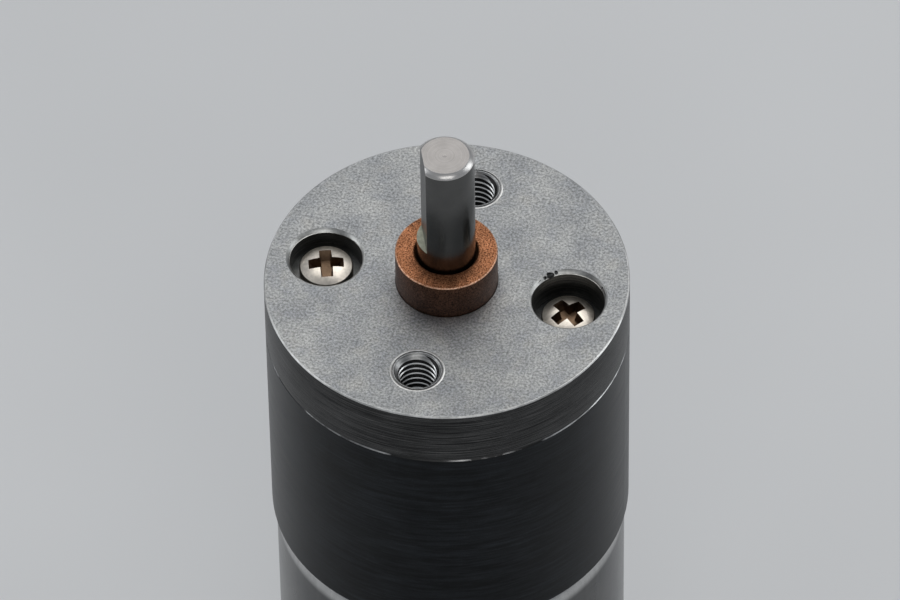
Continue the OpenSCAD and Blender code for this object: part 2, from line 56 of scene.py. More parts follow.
# Sizes in mm, as in the CAD model.
PLATE_R, PLATE_T = 12.5, 4.5
HOLE_R = 8.5
CASE_Z = -22.0
CAN_R, CAN_LEN, CAN_WALL = 12.2, 30.8, 0.9
CAN_END = CASE_Z - CAN_LEN
CAP_Z = CAN_END + 0.4
TERMINAL_X = 8.6
PIN_A = (-3.1275, 5.2662)
PIN_B = (3.2680, 5.5027)
FLAT_ANGLE = 202
POLES = 5
CORE_Z, CORE_LEN = CASE_Z - 5.8, 14.0
BORE_R = 2.5
BORE_DEPTH = {-1: 1.7, 1: 2.5}
SINK_R = 1.6
TAP_R, THREAD_R, THREAD_PITCH = 1.25, 1.51, 0.5
BUSH_R, BOSS_R, BOSS_H = 3.2, 3.5, 2.9
SHAFT_R, SHAFT_TOP = 2.0, 12.5
FLAT_X, FLAT_FOOT = 1.5, 4.3


# ---------------------------------------------------------------- materials

class Look:
    """A material graph. Textures work in millimetres on the piece's own coordinates."""

    def __init__(self, name, metallic=1.0, roughness=0.4, color=(0.5, 0.5, 0.5)):
        self.material = bpy.data.materials.new(name)
        self.material.use_nodes = True
        self.tree = self.material.node_tree
        self.shader = self.tree.nodes["Principled BSDF"]
        self.shader.inputs["Metallic"].default_value = metallic
        self.shader.inputs["Roughness"].default_value = roughness
        self.shader.inputs["Base Color"].default_value = (*color, 1)
        self.coords = self.node("ShaderNodeTexCoord").outputs["Object"]
        self.height = None

    def node(self, kind, **values):
        n = self.tree.nodes.new(kind)
        for key, value in values.items():
            setattr(n, key, value)
        return n

    def link(self, a, b):
        self.tree.links.new(a, b)

    def mapped(self, scale=(1, 1, 1), turn=(0, 0, 0), source=None):
        m = self.node("ShaderNodeMapping")
        m.inputs["Scale"].default_value = [s / MM for s in scale]
        m.inputs["Rotation"].default_value = [math.radians(t) for t in turn]
        self.link(source or self.coords, m.inputs["Vector"])
        return m.outputs["Vector"]

    def noise(self, scale, detail=3, rough=0.55, stretch=(1, 1, 1), turn=(0, 0, 0), source=None):
        n = self.node("ShaderNodeTexNoise")
        n.inputs["Scale"].default_value = scale
        n.inputs["Detail"].default_value = detail
        n.inputs["Roughness"].default_value = rough
        self.link(self.mapped(stretch, turn, source), n.inputs["Vector"])
        return n.outputs["Fac"]

    def radial(self, centre=(0, 0)):
        """(distance from the axis, 0, 0), for rings on an end face."""
        shifted = self.node("ShaderNodeVectorMath", operation="SUBTRACT")
        shifted.inputs[1].default_value = (centre[0] * MM, centre[1] * MM, 0)
        self.link(self.coords, shifted.inputs[0])
        flat = self.node("ShaderNodeVectorMath", operation="MULTIPLY")
        flat.inputs[1].default_value = (1, 1, 0)
        self.link(shifted.outputs[0], flat.inputs[0])
        length = self.node("ShaderNodeVectorMath", operation="LENGTH")
        self.link(flat.outputs[0], length.inputs[0])
        out = self.node("ShaderNodeCombineXYZ")
        self.link(length.outputs["Value"], out.inputs[0])
        return out.outputs[0]

    def ramp(self, value, *stops):
        n = self.node("ShaderNodeValToRGB")
        e = n.color_ramp.elements
        while len(e) < len(stops):
            e.new(0.5)
        for element, (at, color) in zip(e, stops):
            element.position = at
            if isinstance(color, (int, float)):
                color = (color, color, color)
            element.color = (*color, 1)
        self.link(value, n.inputs["Fac"])
        return n.outputs["Color"]

    def mix(self, a, b, amount, blend="MIX"):
        n = self.node("ShaderNodeMix", data_type="RGBA", blend_type=blend)
        for socket, value in ((n.inputs[0], amount), (n.inputs[6], a), (n.inputs[7], b)):
            if isinstance(value, (int, float)):
                socket.default_value = value
            elif isinstance(value, tuple):
                socket.default_value = (*value, 1)
            else:
                self.link(value, socket)
        return n.outputs[2]

    def color(self, value):
        self.link(value, self.shader.inputs["Base Color"])
        return self

    def rough(self, value, low, high):
        n = self.node("ShaderNodeMapRange")
        n.inputs["To Min"].default_value = low
        n.inputs["To Max"].default_value = high
        self.link(value, n.inputs["Value"])
        self.link(n.outputs["Result"], self.shader.inputs["Roughness"])
        return self

    def bump(self, value, strength, depth=0.05):
        n = self.node("ShaderNodeBump")
        n.inputs["Strength"].default_value = strength
        n.inputs["Distance"].default_value = depth * MM
        self.link(value, n.inputs["Height"])
        if self.height:
            self.link(self.height, n.inputs["Normal"])
        self.height = n.outputs["Normal"]
        self.link(self.height, self.shader.inputs["Normal"])
        return self


def cast_zinc():
    look = Look("zinc_face", roughness=0.5)
    blotch = look.noise(0.33, 4, 0.6)
    tint = look.noise(0.7, 3, 0.5, turn=(0, 0, 40))
    warm = look.noise(0.6, 2, turn=(0, 0, 75))
    grain = look.noise(6, 4, 0.7)
    base = look.ramp(blotch, (0.34, (0.29, 0.30, 0.31)), (0.66, (0.42, 0.425, 0.42)))
    base = look.mix(base, (0.31, 0.325, 0.35), look.ramp(tint, (0.50, 0), (0.66, 0.35)))
    base = look.mix(base, (0.42, 0.41, 0.385), look.ramp(warm, (0.54, 0), (0.70, 0.35)))
    base = look.mix(base, look.ramp(grain, (0.36, 0.45), (0.5, 0.95), (0.64, 1.5)), 0.8, "MULTIPLY")
    scratch = look.ramp(look.noise(1.1, 2, 0.5, stretch=(9, 0.2, 1), turn=(0, 0, 32)), (0.70, 0), (0.74, 0.5))
    base = look.mix(base, (0.62, 0.62, 0.62), scratch)
    look.color(base).rough(look.noise(5, 3, 0.6, turn=(0, 0, 15)), 0.40, 0.62)
    return look.bump(grain, 0.6, 0.05).bump(blotch, 0.1, 0.1).material


def turned_zinc(name, dark, light, lines=24, line_depth=0.35, low=0.3, high=0.46, painted_highlight_z=None):
    """The last argument is the height in mm above which the colour is a painted highlight, a bright band
    along the edge.
    """
    look = Look(name)
    streak = look.noise(1, 4, 0.65, stretch=(0.28, 0.28, lines))
    speck = look.noise(9, 3, 0.7)
    wide = look.noise(0.25, 3, 0.6)
    base = look.ramp(streak, (0.40, dark), (0.70, light))
    base = look.mix(base, look.ramp(wide, (0.35, 0.75), (0.65, 1.2)), 0.8, "MULTIPLY")
    base = look.mix(base, look.ramp(speck, (0.36, 0.7), (0.6, 1.0), (0.74, 1.8)), 0.5, "MULTIPLY")
    # painted highlight: above that height the colour is painted bright, broken up by noise
    if painted_highlight_z is not None:
        above = look.node("ShaderNodeMath", operation="GREATER_THAN")
        above.inputs[1].default_value = painted_highlight_z * MM
        split = look.node("ShaderNodeSeparateXYZ")
        look.link(look.coords, split.inputs[0])
        look.link(split.outputs["Z"], above.inputs[0])
        base = look.mix(base, look.ramp(look.noise(0.35, 4), (0.42, 0.03), (0.62, 0.6)), above.outputs[0])
    look.color(base).rough(streak, low, high)
    return look.bump(streak, line_depth, 0.03).bump(speck, 0.12, 0.02).material


def plain_metal(name, color, low=0.2, high=0.35, grain=6, depth=0.12, spread=0.12):
    look = Look(name)
    wide = look.noise(0.5, 4, 0.6)
    fine = look.noise(grain, 3, 0.6)
    dim = tuple(c * (1 - spread) for c in color)
    lit = tuple(min(1, c * (1 + spread)) for c in color)
    base = look.mix(look.ramp(wide, (0.35, dim), (0.65, lit)),
                    look.ramp(fine, (0.3, 0.8), (0.7, 1.15)), 0.5, "MULTIPLY")
    look.color(base).rough(wide, low, high)
    return look.bump(fine, depth, 0.02).material


def bronze(name, body, pore, glint, pores=0.42):
    look = Look(name)
    speck = look.noise(9, 3, 0.7)
    wide = look.noise(0.7, 3, 0.6)
    base = look.ramp(speck, (pores - 0.06, pore), (pores + 0.03, body), (0.7, glint))
    base = look.mix(base, look.ramp(wide, (0.35, 0.7), (0.65, 1.2)), 0.7, "MULTIPLY")
    look.color(base).rough(speck, 0.55, 0.36)
    return look.bump(speck, 0.5, 0.05).material


def ground_steel(name, color=(0.52, 0.52, 0.52), along="z", low=0.16, high=0.28):
    look = Look(name)
    stretch = {"z": (0.6, 0.6, 45), "x": (45, 45, 0.6)}[along]
    fine = look.noise(1, 3, 0.6, stretch=stretch)
    wide = look.noise(0.6, 3, 0.6)
    dim = tuple(c * 0.85 for c in color)
    base = look.mix(look.ramp(fine, (0.35, dim), (0.65, color)),
                    look.ramp(wide, (0.3, 0.85), (0.7, 1.1)), 0.6, "MULTIPLY")
    look.color(base).rough(fine, low, high)
    return look.bump(fine, 0.12, 0.015).material


def faced_steel(name, color, centre=(0, 0), rings=26):
    """An end face with the rings of a lathe tool."""
    look = Look(name)
    ring = look.noise(1, 2, 0.5, stretch=(rings, 1, 1), source=look.radial(centre))
    wide = look.noise(1.1, 3, 0.6)
    dim = tuple(c * 0.8 for c in color)
    base = look.mix(look.ramp(ring, (0.35, dim), (0.65, color)),
                    look.ramp(wide, (0.3, 0.85), (0.7, 1.12)), 0.6, "MULTIPLY")
    look.color(base).rough(ring, 0.24, 0.4)
    return look.bump(ring, 0.4, 0.02).bump(look.noise(9, 2), 0.1, 0.02).material


def moulded(name, color, gloss=0.42, grain=7):
    look = Look(name, metallic=0.0, roughness=gloss)
    fine = look.noise(grain, 3, 0.6)
    wide = look.noise(0.4, 3, 0.6)
    dim = tuple(c * 0.72 for c in color)
    look.color(look.ramp(wide, (0.35, dim), (0.65, color))).rough(fine, gloss - 0.08, gloss + 0.1)
    return look.bump(fine, 0.22, 0.03).bump(wide, 0.12, 0.1).material


def plated_can():
    look = Look("can_plated")
    wide = look.noise(0.22, 5, 0.62)
    stain = look.noise(1.1, 4, 0.6)
    draw = look.noise(1, 3, 0.6, stretch=(2.6, 2.6, 0.12))
    base = look.ramp(wide, (0.35, (0.105, 0.107, 0.11)), (0.65, (0.13, 0.13, 0.129)))
    # painted highlight: the drawn shoulder under the gearbox is painted bright, and fades into the darker
    # side
    height = look.node("ShaderNodeSeparateXYZ")
    look.link(look.coords, height.inputs[0])
    shoulder_highlight = look.node("ShaderNodeMapRange", interpolation_type="SMOOTHSTEP")
    shoulder_highlight.inputs["From Min"].default_value = (CASE_Z - 1.9) * MM
    shoulder_highlight.inputs["From Max"].default_value = (CASE_Z - 1.1) * MM
    look.link(height.outputs["Z"], shoulder_highlight.inputs["Value"])
    base = look.mix(base, (0.50, 0.50, 0.495), shoulder_highlight.outputs["Result"])
    base = look.mix(base, look.ramp(stain, (0.3, 0.9), (0.6, 1.0), (0.75, 1.05)), 0.6, "MULTIPLY")
    base = look.mix(base, look.ramp(draw, (0.35, 0.85), (0.65, 1.05)), 0.6, "MULTIPLY")
    look.color(base).rough(stain, 0.22, 0.30)
    return look.bump(draw, 0.08, 0.02).bump(look.noise(11, 2), 0.05, 0.02).material


def laminated():
    look = Look("laminations")
    band = look.noise(1, 1, 0.4, stretch=(0.05, 0.05, 4.2))
    stack = look.node("ShaderNodeTexWave", bands_direction="Z")
    stack.inputs["Scale"].default_value = 0.62
    stack.inputs["Distortion"].default_value = 0.0
    look.link(look.mapped(), stack.inputs["Vector"])
    base = look.ramp(stack.outputs["Fac"], (0.05, (0.05, 0.05, 0.06)), (0.3, (0.24, 0.245, 0.26)))
    base = look.mix(base, look.ramp(band, (0.3, 0.7), (0.7, 1.2)), 0.8, "MULTIPLY")
    look.color(base).rough(look.noise(5, 2), 0.35, 0.55)
    return look.bump(stack.outputs["Fac"], 0.5, 0.05).material


def ferrite():
    look = Look("ferrite", metallic=0.0, roughness=0.5)
    fine = look.noise(7, 4, 0.7)
    grind = look.noise(1, 3, 0.6, stretch=(0.8, 0.8, 18))
    base = look.mix(look.ramp(fine, (0.3, (0.045, 0.045, 0.05)), (0.7, (0.10, 0.10, 0.11))),
                    look.ramp(grind, (0.3, 0.75), (0.7, 1.2)), 0.7, "MULTIPLY")
    look.color(base).rough(fine, 0.42, 0.62)
    return look.bump(grind, 0.2, 0.03).material


def enamelled_wire():
    look = Look("enamelled_wire", metallic=0.85, roughness=0.28)
    wide = look.noise(0.9, 3, 0.6)
    look.color(look.ramp(wide, (0.35, (0.36, 0.12, 0.04)), (0.65, (0.60, 0.24, 0.10))))
    look.shader.inputs["Coat Weight"].default_value = 0.5
    look.shader.inputs["Coat Roughness"].default_value = 0.12
    return look.rough(look.noise(4, 2), 0.22, 0.38).material


def paper():
    look = Look("floor", metallic=0.0, roughness=0.75)
    look.color(look.ramp(look.noise(0.02, 2), (0.3, (0.64, 0.645, 0.65)), (0.7, (0.67, 0.675, 0.68))))
    return look.bump(look.noise(2.0, 3), 0.03, 0.05).material


M = {
    "zinc_face": cast_zinc(),
    "rim": turned_zinc("zinc_rim", (0.013, 0.013, 0.014), (0.12, 0.12, 0.118), lines=26),
    # the housing's top edge, at the seam under the front plate, gets a painted highlight
    "housing": turned_zinc("zinc_housing", (0.010, 0.011, 0.012), (0.022, 0.025, 0.029), lines=4,
                           line_depth=0.08, painted_highlight_z=-PLATE_T - 0.09),
    "edge": plain_metal("zinc_edge", (0.60, 0.60, 0.59), 0.25, 0.4, depth=0.3, spread=0.3),
    "sink": turned_zinc("countersink", (0.20, 0.20, 0.198), (0.55, 0.55, 0.545), lines=12),
    "lip": plain_metal("zinc_lip", (0.46, 0.46, 0.445), 0.3, 0.5, depth=0.5, spread=0.4),
    "bore": turned_zinc("bored_zinc", (0.09, 0.092, 0.09), (0.22, 0.22, 0.215), lines=14),
    # painted shade: the thread in the tapped holes is coloured near black; its crest is painted bright, a
    # painted highlight
    "thread": plain_metal("threaded_zinc_painted_shade", (0.022, 0.022, 0.022), 0.3, 0.45),
    "crest": plain_metal("thread_crest_painted_highlight", (0.85, 0.85, 0.84), 0.24, 0.4),
    "groove": plain_metal("spot_face", (0.16, 0.16, 0.16), 0.35, 0.5),
    "cast_inside": plain_metal("cast_inside", (0.33, 0.33, 0.34), 0.45, 0.6, grain=4, depth=0.4),
    # the bush's top, side and rounded edge are copies of one bronze: the darker side copy is painted shade,
    # the brighter edge copy a painted highlight
    "bronze_top": bronze("bronze_top", (0.34, 0.135, 0.062), (0.07, 0.03, 0.018), (0.62, 0.30, 0.16), 0.45),
    "bronze_side_painted_shade": bronze("bronze_side_painted_shade", (0.095, 0.045, 0.027), (0.022, 0.012, 0.009), (0.26, 0.13, 0.08)),
    "bronze_edge_painted_highlight": bronze("bronze_edge_painted_highlight", (0.62, 0.33, 0.20), (0.20, 0.08, 0.04), (0.90, 0.60, 0.44), 0.42),
    "bush": bronze("bush_bronze", (0.40, 0.22, 0.11), (0.14, 0.075, 0.04), (0.52, 0.31, 0.17)),
    "shaft": ground_steel("shaft_ground", (0.115, 0.115, 0.113)),
    "flat": ground_steel("shaft_flat", (0.10, 0.101, 0.102), "x", 0.25, 0.38),
    "ledge": plain_metal("shaft_ledge", (0.26, 0.27, 0.22), 0.35, 0.55, grain=3, depth=1.0, spread=0.6),
    "tip": faced_steel("shaft_tip", (0.325, 0.312, 0.304), rings=16),
    "bevel": ground_steel("shaft_bevel", (0.60, 0.585, 0.57), "z", 0.26, 0.36),
    "screw": plain_metal("screw_nickel", (0.74, 0.68, 0.60), 0.24, 0.4, grain=4, depth=0.3, spread=0.2),
    "recess": plain_metal("screw_recess", (0.15, 0.10, 0.065), 0.3, 0.5, grain=4, depth=0.4, spread=0.5),
    "pin": ground_steel("pin_steel", (0.60, 0.60, 0.61)),
    "gear_steel": plain_metal("gear_steel", (0.36, 0.36, 0.35), 0.24, 0.4, grain=5, depth=0.2),
    "gear_brass": plain_metal("gear_brass", (0.62, 0.43, 0.17), 0.22, 0.36, grain=5, depth=0.2),
    "brass": plain_metal("stamped_brass", (0.66, 0.47, 0.20), 0.25, 0.4),
    "can": plated_can(),
    "spring": plain_metal("spring_steel", (0.42, 0.43, 0.44), 0.25, 0.4),
    "core": laminated(),
    "ferrite": ferrite(),
    "wire": enamelled_wire(),
    "fibre": moulded("pressed_fibre", (0.06, 0.22, 0.10), 0.6, 5),
    "resin": moulded("commutator_resin", (0.10, 0.055, 0.035), 0.4),
    "copper": turned_zinc("commutator_copper", (0.50, 0.24, 0.13), (0.72, 0.42, 0.26), lines=20),
    "varistor": moulded("varistor", (0.06, 0.06, 0.065), 0.5, 6),
    "nylon": moulded("white_nylon", (0.72, 0.69, 0.62), 0.4, 4),
    "cap": moulded("black_nylon", (0.030, 0.030, 0.033), 0.4, 6),
    "carbon": moulded("pressed_carbon", (0.035, 0.035, 0.036), 0.45, 9),
    "tinned": plain_metal("tinned_brass", (0.74, 0.68, 0.54), 0.22, 0.4, grain=3, depth=0.25, spread=0.1),
}


# ---------------------------------------------------------------- mesh tools (in mm, scaled at the end)

def piece(name, verts, faces, mats=("zinc_face",)):
    mesh = bpy.data.meshes.new(name)
    mesh.from_pydata(verts, [], faces)
    for m in mats:
        mesh.materials.append(M[m])
    mesh.update()
    bm = bmesh.new()
    bm.from_mesh(mesh)
    bmesh.ops.recalc_face_normals(bm, faces=bm.faces)
    bm.to_mesh(mesh)
    bm.free()
    obj = bpy.data.objects.new(name, mesh)
    bpy.context.scene.collection.objects.link(obj)
    return obj


def lathe(name, profile, mats=("zinc_face",), bands=None, n=96, centre=(0, 0), closed=False):
    """A turned solid. profile is [(radius, height)]: open ends lie on the axis, unless the outline is closed.
    bands gives each segment's index in mats."""
    verts, rows = [], []
    for r, z in profile:
        if r < 1e-9:
            rows.append([len(verts)])
            verts.append((centre[0], centre[1], z))
        else:
            rows.append(list(range(len(verts), len(verts) + n)))
            for i in range(n):
                a = 2 * math.pi * i / n
                verts.append((centre[0] + r * math.cos(a), centre[1] + r * math.sin(a), z))
    faces, tags = [], []
    count = len(rows)
    for k in range(count if closed else count - 1):
        a, b = rows[k], rows[(k + 1) % count]
        for i in range(n):
            j = (i + 1) % n
            if len(a) == 1 and len(b) == 1:
                continue
            if len(a) == 1:
                faces.append((a[0], b[i], b[j]))
            elif len(b) == 1:
                faces.append((a[i], b[0], a[j]))
            else:
                faces.append((a[i], b[i], b[j], a[j]))
            tags.append(bands[k] if bands else 0)
    obj = piece(name, verts, faces, mats)
    for p, tag in zip(obj.data.polygons, tags):
        p.material_index = tag
    return obj


def block(name, low, high, mats=("zinc_face",), round_by=0.0, turn=0.0, steps=2):
    bm = bmesh.new()
    bmesh.ops.create_cube(bm, size=1)
    for v in bm.verts:
        v.co = Vector([low[i] + (v.co[i] + 0.5) * (high[i] - low[i]) for i in range(3)])
    if round_by:
        bmesh.ops.bevel(bm, geom=bm.edges[:], offset=round_by, segments=steps, profile=0.5, affect="EDGES")
    if turn:
        spin = Matrix.Rotation(math.radians(turn), 3, "Z")
        bmesh.ops.rotate(bm, verts=bm.verts, cent=(0, 0, 0), matrix=spin)
    mesh = bpy.data.meshes.new(name)
    bm.to_mesh(mesh)
    bm.free()
    for m in mats:
        mesh.materials.append(M[m])
    obj = bpy.data.objects.new(name, mesh)
    bpy.context.scene.collection.objects.link(obj)
    return obj


def sector(name, inner, outer, z0, z1, start, end, mats, n=24):
    """Part of a ring between two angles in degrees."""
    verts, faces = [], []
    for i in range(n + 1):
        a = math.radians(start + (end - start) * i / n)
        for r, z in ((inner, z0), (outer, z0), (outer, z1), (inner, z1)):
            verts.append((r * math.cos(a), r * math.sin(a), z))
    for i in range(n):
        b = 4 * i
        for k in range(4):
            m = (k + 1) % 4
            faces.append((b + k, b + m, b + 4 + m, b + 4 + k))
    faces += [(0, 1, 2, 3), (4 * n, 4 * n + 1, 4 * n + 2, 4 * n + 3)]
    return piece(name, verts, faces, mats)


def thread(name, minor, major, pitch, low, high, centre, mats, n=56):
    """A solid with an external thread, to cut a tapped hole with."""
    edge = minor + 0.06
    shape = ((0.0, edge), (0.08, minor), (0.2, minor), (0.28, edge), (0.58, major), (0.7, major))
    k = len(shape)
    turns = int((high - low) / pitch) + 1
    rows = turns * k
    verts = []
    for j in range(n):
        a = 2 * math.pi * j / n
        for i in range(rows + 1):
            f, r = shape[i % k]
            z = low + pitch * (i // k + f + j / n)
            verts.append((centre[0] + r * math.cos(a), centre[1] + r * math.sin(a), z))
    at = lambda j, i: j * (rows + 1) + i
    faces = []
    for j in range(n - 1):
        for i in range(rows):
            faces.append((at(j, i), at(j + 1, i), at(j + 1, i + 1), at(j, i + 1)))
    for i in range(rows - k):
        faces.append((at(n - 1, i), at(0, i + k), at(0, i + k + 1), at(n - 1, i + 1)))
    bottom = [at(j, 0) for j in range(n)] + [at(0, i) for i in range(k, 0, -1)]
    top = [at(j, rows) for j in range(n)] + [at(n - 1, i) for i in range(rows - 1, rows - k - 1, -1)]
    for loop, z in ((bottom, low), (top, low + pitch * (turns + 1))):
        verts.append((centre[0], centre[1], z))
        hub = len(verts) - 1
        for i in range(len(loop)):
            faces.append((loop[i], loop[(i + 1) % len(loop)], hub))
    obj = piece(name, verts, faces, mats)

    def off_axis(v):
        return math.hypot(verts[v][0] - centre[0], verts[v][1] - centre[1])

    # the innermost band between two turns, which is the crest of the tapped hole, takes the second material,
    # a painted highlight
    for p in obj.data.polygons:
        if len(p.vertices) == 4 and all(off_axis(v) < edge + 0.01 for v in p.vertices):
            p.material_index = 1
    return obj


def carve(obj, cutter, operation="DIFFERENCE"):
    mod = obj.modifiers.new("carve", "BOOLEAN")
    mod.solver = "EXACT"
    mod.operation = operation
    mod.object = cutter
    mod.material_mode = "TRANSFER"
    deps = bpy.context.evaluated_depsgraph_get()
    mesh = bpy.data.meshes.new_from_object(obj.evaluated_get(deps))
    old = obj.data
    obj.modifiers.clear()
    obj.data = mesh
    mesh.name = old.name
    bpy.data.meshes.remove(old)
    bpy.data.objects.remove(cutter)
    return obj


def join(name, parts):
    bm = bmesh.new()
    mats = []
    for p in parts:
        for m in p.data.materials:
            if m not in mats:
                mats.append(m)
    for p in parts:
        first = len(bm.faces)
        bm.from_mesh(p.data)
        bm.faces.ensure_lookup_table()
        index = [mats.index(m) for m in p.data.materials]
        for f in bm.faces[first:]:
            f.material_index = index[f.material_index]
    mesh = bpy.data.meshes.new(name)
    bm.to_mesh(mesh)
    bm.free()
    for m in mats:
        mesh.materials.append(m)
    for p in parts:
        bpy.data.objects.remove(p)
    obj = bpy.data.objects.new(name, mesh)
    bpy.context.scene.collection.objects.link(obj)
    return obj


def finish_piece(obj, body, nodes, sharp=32):
    """Scales to metres, sets smooth shading with flat ends kept flat, and ties the piece to the frame."""
    mesh = obj.data
    mesh.transform(Matrix.Scale(MM, 4))
    mesh.shade_smooth()
    mesh.set_sharp_from_angle(angle=math.radians(sharp))
    for p in mesh.polygons:
        if abs(p.normal.z) > 0.9999:
            p.use_smooth = False
    mesh.update()
    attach(obj, body)
    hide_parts(*nodes)
    return obj


def arc(r, z, radius, start, end, steps=4):
    """Points of a fillet: centre (r, z), from one angle to another in degrees."""
    points = []
    for i in range(steps + 1):
        a = math.radians(start + (end - start) * i / steps)
        points.append((r + radius * math.cos(a), z + radius * math.sin(a)))
    return points


# ---------------------------------------------------------------- camera and light

scene = bpy.context.scene
AZIMUTH, ELEVATION, DISTANCE = 14.3, 48.58, 586.3 * MM
YAW, PITCH, ROLL = 0.0189, 0.1429, -0.99
data = bpy.data.cameras.new("camera")
data.sensor_width = 36
data.lens = 343.8
data.clip_start, data.clip_end = 0.01, 20
camera = bpy.data.objects.new("camera", data)
scene.collection.objects.link(camera)
e = math.radians(ELEVATION)
back = Vector((0, -math.cos(e), math.sin(e)))
right = Vector((1, 0, 0))
up = back.cross(right)
aim = Matrix((right, -up, -back))
aim = Matrix.Rotation(math.radians(ROLL), 3, "Z") @ Matrix.Rotation(math.radians(PITCH), 3, "X") @ (
    Matrix.Rotation(math.radians(-YAW), 3, "Y") @ aim)
turn = Matrix.Rotation(math.radians(AZIMUTH), 3, "Z")
axes = Matrix((aim[0], -aim[1], -aim[2])).transposed()
camera.matrix_world = Matrix.Translation(turn @ (back * DISTANCE)) @ (turn @ axes).to_4x4()
scene.camera = camera

floor_z = cad_box[0][2]
bpy.ops.mesh.primitive_grid_add(x_subdivisions=8, y_subdivisions=8, size=6, location=(0, 0, floor_z))
floor = bpy.context.object
floor.name = "floor"
floor.data.materials.append(paper())

world = bpy.data.worlds.new("studio")
world.use_nodes = True
world.node_tree.nodes["Background"].inputs[0].default_value = (0.90, 0.94, 1.0, 1)
world.node_tree.nodes["Background"].inputs[1].default_value = 0.36
scene.world = world


def softbox(name, azimuth, elevation, distance, size, power, color=(1, 1, 1)):
    light = bpy.data.lights.new(name, "AREA")
    light.shape = "RECTANGLE"
    light.size, light.size_y = size
    light.energy = power
    light.color = color
    obj = bpy.data.objects.new(name, light)
    scene.collection.objects.link(obj)
    a, e = math.radians(azimuth), math.radians(elevation)
    way = Vector((math.sin(a) * math.cos(e), -math.cos(a) * math.cos(e), math.sin(e)))
    obj.location = way * distance
    obj.rotation_euler = way.to_track_quat("Z", "Y").to_euler()
    return obj


softbox("key", 14.3 + 172, 60, 0.8, (0.8, 0.62), 2.3, (1, 0.985, 0.96))
softbox("left", 14.3 - 95, 22, 0.7, (0.3, 0.6), 1.0, (0.95, 0.98, 1))
softbox("right", 14.3 + 100, 16, 0.7, (0.3, 0.6), 1.2, (0.95, 0.98, 1))
softbox("front", 14.3 + 6, 38, 1.0, (0.7, 0.25), 1.3, (1, 0.99, 0.97))
scene.view_settings.view_transform = "Standard"


# ---------------------------------------------------------------- front plate

plate = lathe(
    "front_plate_cast",
    [(0, -PLATE_T), (PLATE_R - 0.08, -PLATE_T), (PLATE_R, -PLATE_T + 0.08), (PLATE_R, -0.1)]
    + arc(PLATE_R - 0.1, -0.1, 0.1, 0, 90)[1:] + [(0, 0)],
    ("zinc_face", "rim", "edge", "cast_inside"), [3, 1, 1, 2, 2, 2, 2, 0], n=180)
for s in (-1, 1):
    centre = (0, s * HOLE_R)
    # a spot-faced ring round each threaded hole, with the burr that the tap pushed up at its edge
    carve(plate, lathe("burr", [(1.76, -0.2), (1.76, 0.01), (1.81, 0.028), (1.88, 0.01), (1.9, -0.2)],
                       ("edge",), n=64, centre=centre, closed=True), "UNION")
    carve(plate, lathe("spot", [(1.66, -0.05), (1.74, -0.05), (1.76, 0.2), (1.64, 0.2)], ("groove",), n=64,
                       centre=centre, closed=True))
    carve(plate, lathe("sink", [(0, -0.35), (TAP_R, -0.35), (SINK_R, 0), (SINK_R, 0.2), (0, 0.2)],
                       ("sink",), n=64, centre=centre))
    carve(plate, thread("tap", TAP_R, THREAD_R, THREAD_PITCH, -6, 1.5, centre, ("thread", "crest")))
    centre = (s * HOLE_R, 0)
    deep = -BORE_DEPTH[s]
    carve(plate, lathe(
        "counterbore", [(0, deep), (BORE_R, deep), (BORE_R, -0.16)]
        + [(BORE_R + 0.16 * (1 - math.cos(t)), -0.16 + 0.16 * math.sin(t))
           for t in (0.4, 0.8, 1.2, math.pi / 2)]
        + [(BORE_R + 0.16, 0.5), (0, 0.5)], ("bore", "lip"), [0, 0, 1, 1, 1, 1, 1, 1], n=72, centre=centre))
    # the lip is worn more on its side towards the back of the face
    behind = math.radians(139 if s < 0 else 94)
    worn = (centre[0] + 0.12 * math.cos(behind), 0.12 * math.sin(behind))
    carve(plate, lathe("worn_lip", [(0, -0.22), (BORE_R - 0.06, -0.22), (BORE_R + 0.06, -0.07),
                                    (BORE_R + 0.18, 0), (BORE_R + 0.18, 0.3), (0, 0.3)],
                       ("lip",), n=72, centre=worn))
    carve(plate, lathe("clearance", [(0, -5), (1.1, -5), (1.1, deep + 0.2), (0, deep + 0.2)], ("bore",), n=40,
                       centre=centre))
for pin in (PIN_A, PIN_B):
    carve(plate, lathe("pin_hole", [(0, -5), (0.8, -5), (0.8, -2.5), (0, -2.5)], ("bore",), n=32, centre=pin))
carve(plate, lathe("bush_hole", [(0, -5), (BUSH_R, -5), (BUSH_R, -0.33), (BOSS_R + 0.03, 0),
                                 (BOSS_R + 0.03, 0.5), (0, 0.5)],
                   ("bore", "groove"), [0, 0, 1, 1, 1], n=96))


def chip(angle, reach, size):
    """A broken bit of a counterbore's lip, as a rough lump to cut away."""
    bm = bmesh.new()
    bmesh.ops.create_icosphere(bm, subdivisions=2, radius=1)
    for v in bm.verts:
        v.co *= rng.uniform(0.72, 1.15)
        v.co = Vector((v.co.x * size[0], v.co.y * size[1], v.co.z * size[2]))
    a = math.radians(angle)
    bmesh.ops.rotate(bm, verts=bm.verts, cent=(0, 0, 0), matrix=Matrix.Rotation(a, 3, "Z"))
    bmesh.ops.translate(bm, verts=bm.verts, vec=(HOLE_R + reach * math.cos(a), reach * math.sin(a), 0))
    mesh = bpy.data.meshes.new("chip")
    bm.to_mesh(mesh)
    bm.free()
    mesh.materials.append(M["bore"])
    obj = bpy.data.objects.new("chip", mesh)
    bpy.context.scene.collection.objects.link(obj)
    return obj


CHIPS = (
    (131, 2.58, (0.26, 0.32, 0.4)),
    (121, 2.62, (0.2, 0.15, 0.25)),
    (140, 2.56, (0.15, 0.2, 0.28)),
    (152, 2.55, (0.1, 0.4, 0.14)),
    (28, 2.54, (0.1, 0.45, 0.14)),
    (40, 2.56, (0.12, 0.16, 0.2)),
)
for angle, reach, size in CHIPS:
    carve(plate, chip(angle, reach, size))
finish_piece(plate, "case", ["front_plate"])
